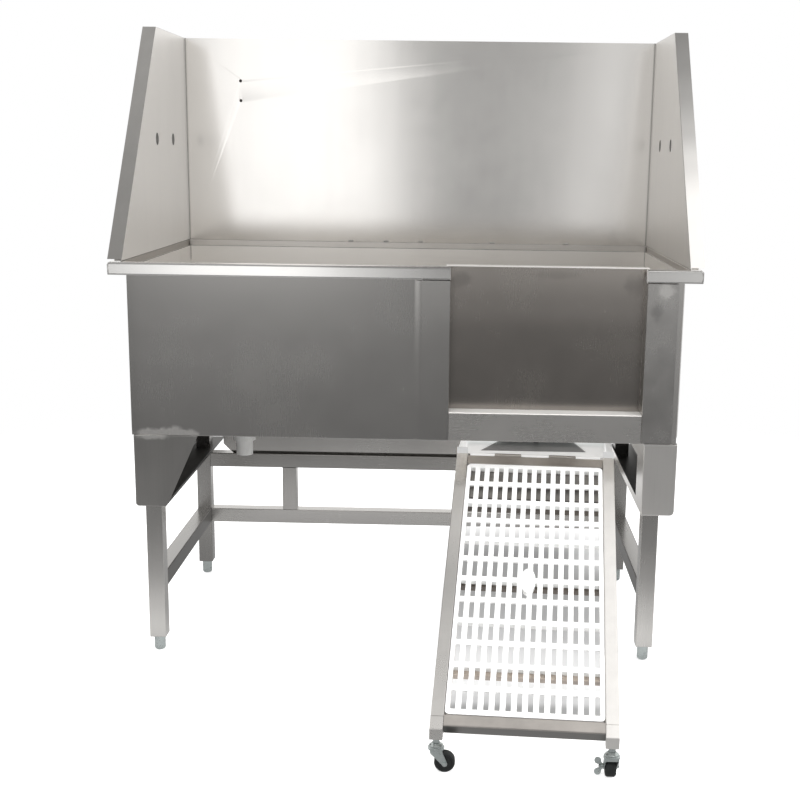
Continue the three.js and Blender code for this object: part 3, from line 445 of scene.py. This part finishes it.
def soften(node, radius, looks, round_below=32, reshape=None):
    """Shows a CAD node with its folds rounded to a radius in millimetres, or as they are where it is 0.
    looks lists (material, test) pairs: a face takes the first material whose test is true of its
    middle, in the tub's millimetres, and of its normal. Edges that turn by less than round_below
    degrees are shaded round. reshape moves a corner by the millimetres that it returns for its place."""
    source = NODES[node]
    mesh = bpy.data.meshes.new(f"{node}_soft")
    work = bmesh.new()
    work.from_mesh(source.data)
    bmesh.ops.remove_doubles(work, verts=work.verts, dist=1e-6)
    if radius:
        bmesh.ops.dissolve_limit(work, angle_limit=COPLANAR, verts=work.verts, edges=work.edges)
    origin = at(0, 0, 0)
    for face in work.faces:
        middle = (face.calc_center_bounds() - origin) / MM
        face.material_index = next(i for i, (_, test) in enumerate(looks) if test(middle, face.normal))
    if reshape:
        for corner in work.verts:
            corner.co += Vector(reshape((corner.co - origin) / MM)) * MM
    if radius:
        folds = [edge for edge in work.edges if is_fold(edge)]
        bmesh.ops.bevel(work, geom=folds, offset=radius * MM, segments=3, profile=0.5, affect="EDGES",
                        clamp_overlap=True)
    work.to_mesh(mesh)
    work.free()
    mesh.polygons.foreach_set("use_smooth", [True] * len(mesh.polygons))
    mesh.set_sharp_from_angle(angle=math.radians(round_below))
    piece = add_object(f"{node}_soft", mesh)
    for material, _ in looks:
        mesh.materials.append(material)
    steady = piece.modifiers.new("steady_normals", "WEIGHTED_NORMAL")
    steady.keep_sharp = True
    steady.weight = 100
    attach(piece, BODY_OF[node])
    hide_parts(node)


# Tests of a face's middle, in the tub's millimetres, and of its normal.
FACING = 0.7  # a face that is turned to an axis has more than this of it in its normal
LEANING = 0.5
BASIN_FACE, BASIN_BACK, BASIN_SIDE = -342, 373, 585
FLOOR_TOP = 515
HOLE_Z, HOLE_REACH, HOLES_FROM, HOLES_TO = 1145, 15.5, 20, 230
NUT_X, NUT_BORE, SPLASH_FACE = -465, 4.6, 375.5
DOORWAY = (90, 530)
DOOR_TOP, SILL_TOP, BRACKET_MIDDLE, BRACKET_INNER = 880, 570, 360, 529
RIM_BOTTOM, RIM_HEIGHT, RIM_LEAN = 857, 28, 4


def always(middle, normal):
    return True


def outer_front(middle, normal):
    return normal.y < -FACING and middle.y < BASIN_FACE


def outer_side(middle, normal):
    return abs(middle.x) > BASIN_SIDE and normal.x * math.copysign(1, middle.x) > LEANING


def outer_back(middle, normal):
    return normal.y > FACING and middle.y > BASIN_BACK


def basin_floor(middle, normal):
    return normal.z > FACING and middle.z < FLOOR_TOP


def basin_underside(middle, normal):
    return normal.z < -FACING and middle.z < FLOOR_TOP


def front_inside(middle, normal):
    """The inner face of the basin's front, as far as the doorway."""
    return normal.y > FACING and middle.y < -335 and middle.x < 60


def edge_on(middle, normal):
    return abs(normal.x) < LEANING


def hole_wall(middle, normal):
    """The wall of a faucet hole, inside its collar."""
    near = abs(middle.z - HOLE_Z) < HOLE_REACH and HOLES_FROM < middle.y < HOLES_TO
    return near and edge_on(middle, normal)


def nut_wall(middle, normal):
    """The bore of a rivet nut behind the backsplash."""
    return abs(middle.x - NUT_X) < NUT_BORE and middle.y > SPLASH_FACE


def sideways(middle, normal):
    return abs(normal.x) > FACING


def forward_face(middle, normal):
    return normal.y < -FACING


def upper(middle, normal):
    return normal.z > LEANING


def at_door(middle, normal):
    """The ends of the front rims beside the door."""
    return abs(normal.x) > 0.6 and DOORWAY[0] < middle.x < DOORWAY[1]


def door_top(middle, normal):
    return normal.z > FACING and middle.z > DOOR_TOP


def sill_top(middle, normal):
    return normal.z > FACING and middle.z > SILL_TOP


def bracket_under(middle, normal):
    return normal.z < -LEANING and middle.z < BRACKET_MIDDLE


def bracket_inner(middle, normal):
    """The face of the right bracket that looks at the ramp."""
    return middle.x < BRACKET_INNER and normal.x < -LEANING


def lean_back(corner):
    """The front face of the rim leans back a little towards its top."""
    share = max(0.0, corner.z - RIM_BOTTOM) / RIM_HEIGHT
    return (0, RIM_LEAN * share if corner.y < FACE_Y + 5 else 0, 0)


soften("basin", 2.5, [
    (PANEL, outer_front), (OUTER, outer_side), (OUTER, outer_back), (BASIN_FLOOR, basin_floor),
    (UNDERSIDE, basin_underside), (INNER_FRONT, front_inside), (WALL, always)])
for part in ("door_liner", "door_jamb_left", "door_jamb_right"):
    dress(NODES[part], WALL)
soften("backsplash", 0, [(HOLE, nut_wall), (OUTER, outer_back), (SPLASH, always)], round_below=20)
for side, guard, hem, post, rail in (
    ("left", GUARD_LEFT, HEM_LEFT, POST_LEFT, RAMP_LEFT),
    ("right", GUARD_RIGHT, HEM_RIGHT, POST_RIGHT, RAMP_RIGHT),
):
    soften(f"guard_{side}", 1.5, [(HOLE, hole_wall), (hem, edge_on), (OUTER, outer_side), (guard, always)])
    soften(f"rim_front_{side}", 0, [(CAP, at_door), (RIM_FRONT, always)], reshape=lean_back)
    soften(f"rim_{side}", 2.5, [(WEDGE, sideways), (RIM, always)])
    soften(f"door_post_{side}", 2, [(post, always)])
    soften(f"side_brace_{side}", 2.5, [(BRACE_SIDE, sideways), (BRACE, always)])
    soften(f"rear_strut_{side}", 2.5, [(STRUT, always)])
    soften(f"ramp_rail_{side}", 2, [(rail, always)])
    soften(f"caster_socket_{side}", 1.5, [(rail, always)])
soften("rear_rail_upper", 2.5, [(RAIL_HIGH, always)])
soften("rear_rail_lower", 2.5, [(RAIL_LOW, always)])
for side in ("left", "right"):
    soften(f"leg_front_{side}", 2.5, [(LEG_FRONT, always)])
    soften(f"leg_rear_{side}", 2.5, [(LEG_REAR, always)])
soften("rim_rear", 2.5, [(REAR_FACE, forward_face), (RIM, always)])
soften("door_panel", 2, [(WALL, door_top), (DOOR, always)])
soften("door_sill", 2, [(CAP, sill_top), (SILL, always)])
soften("rear_stiffener", 1.5, [(STIFFENER, always)])
# A bracket's faces that no other test takes are its inside, painted near black: painted shade.
BRACKET_REST = [
    (BRACKET_SIDE, outer_side), (BRACKET_SIDE, outer_back), (BRACKET_SIDE, bracket_under), (BRACKET_INSIDE_SHADE, always)]
soften("gusset_left", 1.5, [(BRACKET_LEFT, outer_front)] + BRACKET_REST)
soften("gusset_right", 1.5, [(BRACKET_RIGHT, outer_front), (BRACKET_RIGHT, bracket_inner)] + BRACKET_REST)
soften("ramp_bar_top", 2, [(BAR_TOP, always)])
soften("ramp_bar_bottom", 2, [(BAR_TOP, upper), (BAR_FRONT, always)])
soften("ramp_bearers", 0, [(BEARER, always)])
soften("ramp_tray", 1, [(TRAY, always)])

# ---------------------------------------------------------------- dark plate under the tread's top end, painted shade

RAMP_TURN = Matrix.Rotation(-RAMP_SWING, 4, "Z") @ Matrix.Rotation(RAMP_TILT, 4, "X")
HINGE = at(292.5, -294, 463.5)
PLATE_HALF, PLATE_TOP, PLATE_SHEET = 139.5, -9.8, 1.4
PLATE_HIGH, PLATE_LOW, PLATE_LIP = -28, -121, -20
PLATE_EDGE = 0.2


def on_ramp(x, y, z):
    """A point from the ramp's own millimetres: y runs up to the hinge, z stands off the tread."""
    return HINGE + RAMP_TURN @ Vector((x * MM, y * MM, z * MM))


def make_shade_plate():
    """A thin folded dark plate that closes the first rows of slots from below, with a lip at its lower end:
    painted shade seen through those slots.
    """
    under, lip = PLATE_TOP - PLATE_SHEET, PLATE_LOW + PLATE_SHEET
    profile = [(PLATE_HIGH, PLATE_TOP), (PLATE_LOW, PLATE_TOP), (PLATE_LOW, PLATE_LIP), (lip, PLATE_LIP),
               (lip, under), (PLATE_HIGH, under)]
    work = bmesh.new()
    ends = [[work.verts.new(on_ramp(x, y, z)) for y, z in profile] for x in (-PLATE_HALF, PLATE_HALF)]
    for step in range(len(profile)):
        following = (step + 1) % len(profile)
        work.faces.new((ends[0][step], ends[0][following], ends[1][following], ends[1][step]))
    work.faces.new(list(reversed(ends[0])))
    work.faces.new(ends[1])
    bmesh.ops.recalc_face_normals(work, faces=work.faces)
    bmesh.ops.bevel(work, geom=list(work.edges), offset=PLATE_EDGE * MM, segments=1, affect="EDGES")
    mesh = bpy.data.meshes.new("ramp_shade_plate")
    work.to_mesh(mesh)
    work.free()
    plate = add_object("ramp_shade_plate", mesh)
    dress(plate, SHADE_PLATE)
    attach(plate, "ramp")


make_shade_plate()

# ---------------------------------------------------------------- welds

RIPPLE = 4.0  # the millimetres from one ripple of a bead to the next
BEAD_SIDES = 10


def weld(name, start, end, radius):
    """A weld bead along a straight joint between two points in the tub's millimetres: a round cord with
    ripples, tapered at its ends."""
    first, last = Vector(start), Vector(end)
    run = last - first
    length = run.length
    line = run.normalized()
    side = line.cross(Vector((0, 0, 1)) if abs(line.z) < 0.9 else Vector((1, 0, 0))).normalized()
    other = line.cross(side)
    work = bmesh.new()
    rings = []
    count = max(6, int(length / RIPPLE * 3))
    for step in range(count + 1):
        share = step / count
        taper = math.sin(math.pi * min(1, 6 * min(share, 1 - share) + 0.12) / 2)
        size = radius * taper * (1 + 0.16 * math.sin(2 * math.pi * share * length / RIPPLE))
        middle = first + run * share
        ring = []
        for turn in range(BEAD_SIDES):
            angle = 2 * math.pi * turn / BEAD_SIDES
            spot = middle + (side * math.cos(angle) + other * math.sin(angle)) * size
            ring.append(work.verts.new(at(*spot)))
        rings.append(ring)
    for one, two in zip(rings, rings[1:]):
        for turn in range(BEAD_SIDES):
            following = (turn + 1) % BEAD_SIDES
            work.faces.new((one[turn], one[following], two[following], two[turn]))
    work.faces.new(list(reversed(rings[0])))
    work.faces.new(rings[-1])
    bmesh.ops.recalc_face_normals(work, faces=work.faces)
    mesh = bpy.data.meshes.new(name)
    work.to_mesh(mesh)
    work.free()
    mesh.polygons.foreach_set("use_smooth", [True] * len(mesh.polygons))
    bead = add_object(name, mesh)
    dress(bead, WELD)
    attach(bead, "tub")


for index, x in enumerate((-177, -83, 9, 199.5, 396)):
    weld(f"tack_rear_{index}", (x - 7, 374.6, 887), (x + 7, 374.6, 887), 2.4)
weld("seam_rear_left", (-606.4, 372.4, 830), (-606.4, 372.4, 884), 1.8)
weld("seam_rear_right", (606.4, 372.4, 830), (606.4, 372.4, 884), 1.8)
weld("seam_bracket_left", (-590, -344.5, 507.6), (-524, -344.5, 507.6), 1.6)
weld("seam_bracket_right", (532, -344.5, 507.6), (590, -344.5, 507.6), 1.2)

# ---------------------------------------------------------------- studio

# The floor's shade under the ramp: the depths between which its two sides run straight, and each side's
# place at the near one with how far it moves by the far one, in metres. SHADOW says how light it is.
SHADE_NEAR, SHADE_FAR = -0.645, 1.5
SHADE_LEFT, SHADE_RIGHT = (0.104, 0.047), (0.429, 0.211)
SHADOW = [(-700, 0.3), (-600, 0.3), (-560, 0.5), (-463, 0.72), (-331, 0.66), (-188, 0.5), (-37, 0.4),
          (282, 0.27), (481, 0.22), (1000, 0.22)]


def under_ramp(g, place):
    """How light the floor is: it lies in shadow under the ramp and the tub behind it."""
    x, y, _ = g.split(place)
    far = g.node("ShaderNodeMapRange", {"Value": y, "From Min": SHADE_NEAR, "From Max": SHADE_FAR}).outputs[0]
    left = g.math("MULTIPLY_ADD", far, SHADE_LEFT[1], SHADE_LEFT[0])
    right = g.math("MULTIPLY_ADD", far, SHADE_RIGHT[1], SHADE_RIGHT[0])
    depths = [g.math("SUBTRACT", x, left), g.math("SUBTRACT", right, x)]
    sides = [g.band(depth, -0.05, 0.02) for depth in depths]
    ends = [g.band(y, -0.7, -0.63), g.band(y, 0.95, 0.42)]
    dark = g.along(place, "y", SHADOW)
    # Towards its right side the far part is lighter.
    lift = g.product([g.band(g.math("SUBTRACT", right, x), 0.12, 0.03, 0.0, 0.8), g.band(y, 0.2, 0.4)])
    dark = g.math("MULTIPLY", dark, g.math("ADD", lift, 1.0))
    cover = g.product(sides + ends)
    return g.math("ADD", g.math("MULTIPLY", dark, cover), g.math("SUBTRACT", 1.0, cover))


# The floor's half width, its gap under the feet and the distances between which it fades, in metres.
FLOOR_HALF, FLOOR_GAP = 30, 0.0005
FLOOR_FADE = (1.3, 2.6)
FLOOR_GLOW = [(-3300, 0.18), (-2500, 0.18), (-1500, 0.26), (-1000, 0.38), (-570, 0.85), (-330, 0.6),
              (0, 0.42), (1000, 0.5), (1500, 1.0)]


def make_floor():
    """White ground for the camera. The steel mirrors it with a light of its own, by FLOOR_GLOW."""
    data = bpy.data.meshes.new("studio_floor")
    half = FLOOR_HALF
    corners = [(-half, -half, 0), (half, -half, 0), (half, half, 0), (-half, half, 0)]
    data.from_pydata(corners, [], [(0, 1, 2, 3)])
    floor = add_object("studio_floor", data)
    floor.location.z = -FLOOR_GAP
    material, tree = new_material("pale_floor")
    g = Graph(tree)
    place = g.place()
    cloud = g.noise(place, 1.5, 3)
    white = g.ramp(cloud, [(0.3, (0.86, 0.86, 0.86)), (0.7, (0.9, 0.9, 0.9))])
    shade = under_ramp(g, place)
    matt = g.node("ShaderNodeBsdfDiffuse", {"Color": g.mix(shade, (0, 0, 0), white)}).outputs[0]
    lit = g.node("ShaderNodeAddShader", {0: matt, 1: g.emit(g.math("MULTIPLY", shade, 0.6))}).outputs[0]
    distance = g.node("ShaderNodeVectorMath", {0: place}, operation="LENGTH").outputs["Value"]
    clear = g.node("ShaderNodeBsdfTransparent").outputs[0]
    shown = g.blend(g.band(distance, *FLOOR_FADE), lit, clear)
    seen = g.node("ShaderNodeLightPath").outputs["Is Camera Ray"]
    mirrored = g.emit(g.along(place, "y", FLOOR_GLOW))
    g.show(g.blend(seen, mirrored, shown))
    dress(floor, material)


# How bright the studio is from straight down (-1) to straight up (1), in front of the tub and behind it.
SKY_FRONT = [(-1.0, 0.7), (-0.3, 0.2), (0.0, 0.5), (0.3, 0.55), (0.55, 0.3), (0.9, 0.32), (1.0, 0.75)]
SKY_BACK = [(-1.0, 0.7), (-0.3, 0.5), (0.0, 0.95), (0.4, 1.0), (0.9, 0.85), (1.0, 0.8)]


def make_world():
    """White to the camera; to everything else a studio that is dark in front and bright behind."""
    world = bpy.data.worlds.new("studio")
    world.use_nodes = True
    tree = world.node_tree
    tree.nodes.clear()
    g = Graph(tree)
    direction = g.node("ShaderNodeTexCoord").outputs["Generated"]
    _, y, z = g.split(direction)
    height = g.node("ShaderNodeMapRange", {"Value": z, "From Min": -1.0, "From Max": 1.0}).outputs[0]

    def sky(points):
        return g.ramp(height, [((spot + 1) / 2, (tone, tone * 0.995, tone * 0.985)) for spot, tone in points])

    around = g.mix(g.band(y, -0.25, 0.25), sky(SKY_FRONT), sky(SKY_BACK))
    seen = g.node("ShaderNodeLightPath").outputs["Is Camera Ray"]
    colour = g.mix(seen, around, (1.0, 1.0, 1.0))
    g.show(g.node("ShaderNodeBackground", {"Color": colour, "Strength": 1.0}).outputs[0], "World")
    SCENE.world = world


def area_light(name, position, target, size, power):
    """A lamp that lights the floor and the plastics and isn't mirrored in the steel."""
    data = bpy.data.lights.new(name, "AREA")
    data.shape = "RECTANGLE"
    data.size, data.size_y = size
    data.energy = power
    light = add_object(name, data)
    light.location = position
    light.rotation_mode = "QUATERNION"
    light.rotation_quaternion = (Vector(target) - Vector(position)).to_track_quat("-Z", "Y")
    light.visible_glossy = False


def glow_sheet(name, corners, strength):
    """A glowing sheet that only the steel mirrors. strength makes its light and its cover from the graph
    and the place."""
    data = bpy.data.meshes.new(name)
    data.from_pydata([at(*corner) for corner in corners], [], [(0, 1, 2, 3)])
    sheet = add_object(name, data)
    sheet.visible_camera = False
    sheet.visible_diffuse = False
    sheet.visible_shadow = False
    material, tree = new_material(name)
    g = Graph(tree)
    level, cover = strength(g, g.place())
    clear = g.node("ShaderNodeBsdfTransparent").outputs[0]
    g.show(g.blend(cover, clear, g.emit(level)))
    dress(sheet, material)


# The bright wall in front of the tub that the sheets mirror: its light across at its top, and up its lower
# part, in the tub's millimetres. Its stripes lean by the shares in SLANT, at its left and at its right,
# from SLANT_HEIGHT metres down.
WALL_Y, WALL_HALF, WALL_HIGH = -3300, 2600, 2900
WALL_ACROSS = [
    (-2500, 0.5), (-1400, 0.5), (-1370, 0.6), (-1320, 0.98), (-1230, 1.22), (-350, 1.22), (-300, 0.75),
    (-250, 0.4), (195, 0.33), (563, 0.38), (760, 0.5), (900, 0.95), (960, 1.0), (1030, 0.5), (1200, 0.5),
    (1400, 0.8), (2500, 0.6)]
WALL_UP = [(0, 0.18), (240, 0.2), (400, 0.34), (550, 0.42), (600, 0.42)]
SLANT = (-0.104, 0.13)
SLANT_HEIGHT = 1.692


def light_wall(g, place):
    x, _, height = g.split(place)
    below = g.math("SUBTRACT", SLANT_HEIGHT, height)
    slant = g.band(x, -0.4, 0.4, *SLANT)
    moved = g.node("ShaderNodeCombineXYZ", {0: g.math("MULTIPLY_ADD", below, slant, x)}).outputs[0]
    low = g.along(place, "z", WALL_UP)
    high = g.along(moved, "x", WALL_ACROSS)
    share = g.band(height, 0.52, 0.6)
    rest = g.math("SUBTRACT", 1.0, share)
    level = g.math("ADD", g.math("MULTIPLY", low, rest), g.math("MULTIPLY", high, share))
    return level, g.band(height, 2.8, 2.2)


def soft_patch(strength, low, high, edge):
    """A patch in the xy plane that fades towards its edges, over the millimetres in edge."""
    def make(g, place):
        x, y, _ = g.split(place)
        sides = [g.band(x, low[0] * MM, (low[0] + edge) * MM), g.band(x, high[0] * MM, (high[0] - edge) * MM)]
        ends = [g.band(y, low[1] * MM, (low[1] + edge) * MM), g.band(y, high[1] * MM, (high[1] - edge) * MM)]
        return strength, g.product(sides + ends)
    return make


def flat_corners(low, high, z):
    return [(low[0], low[1], z), (high[0], low[1], z), (high[0], high[1], z), (low[0], high[1], z)]


make_floor()
make_world()
area_light("overhead", (0, -0.2, 3.6), (0, 0, 0), (4.0, 4.0), 120)
area_light("front_key", (-1.2, -3.2, 2.6), (0, 0, 0.6), (2.4, 1.6), 45)
area_light("right_fill", (2.6, -2.0, 1.9), (-0.6, 0.1, 1.1), (1.5, 1.5), 60)
WALL_CORNERS = [(-WALL_HALF, 0), (WALL_HALF, 0), (WALL_HALF, WALL_HIGH), (-WALL_HALF, WALL_HIGH)]
glow_sheet("light_wall", [(x, WALL_Y, z) for x, z in WALL_CORNERS], light_wall)
RIGHT_LOW, RIGHT_HIGH = (600, -1900), (1700, 100)
OVERHEAD = 3000
glow_sheet("light_overhead_right", flat_corners(RIGHT_LOW, RIGHT_HIGH, OVERHEAD),
           soft_patch(1.5, RIGHT_LOW, RIGHT_HIGH, 350))
SCENE.view_settings.view_transform = "Standard"
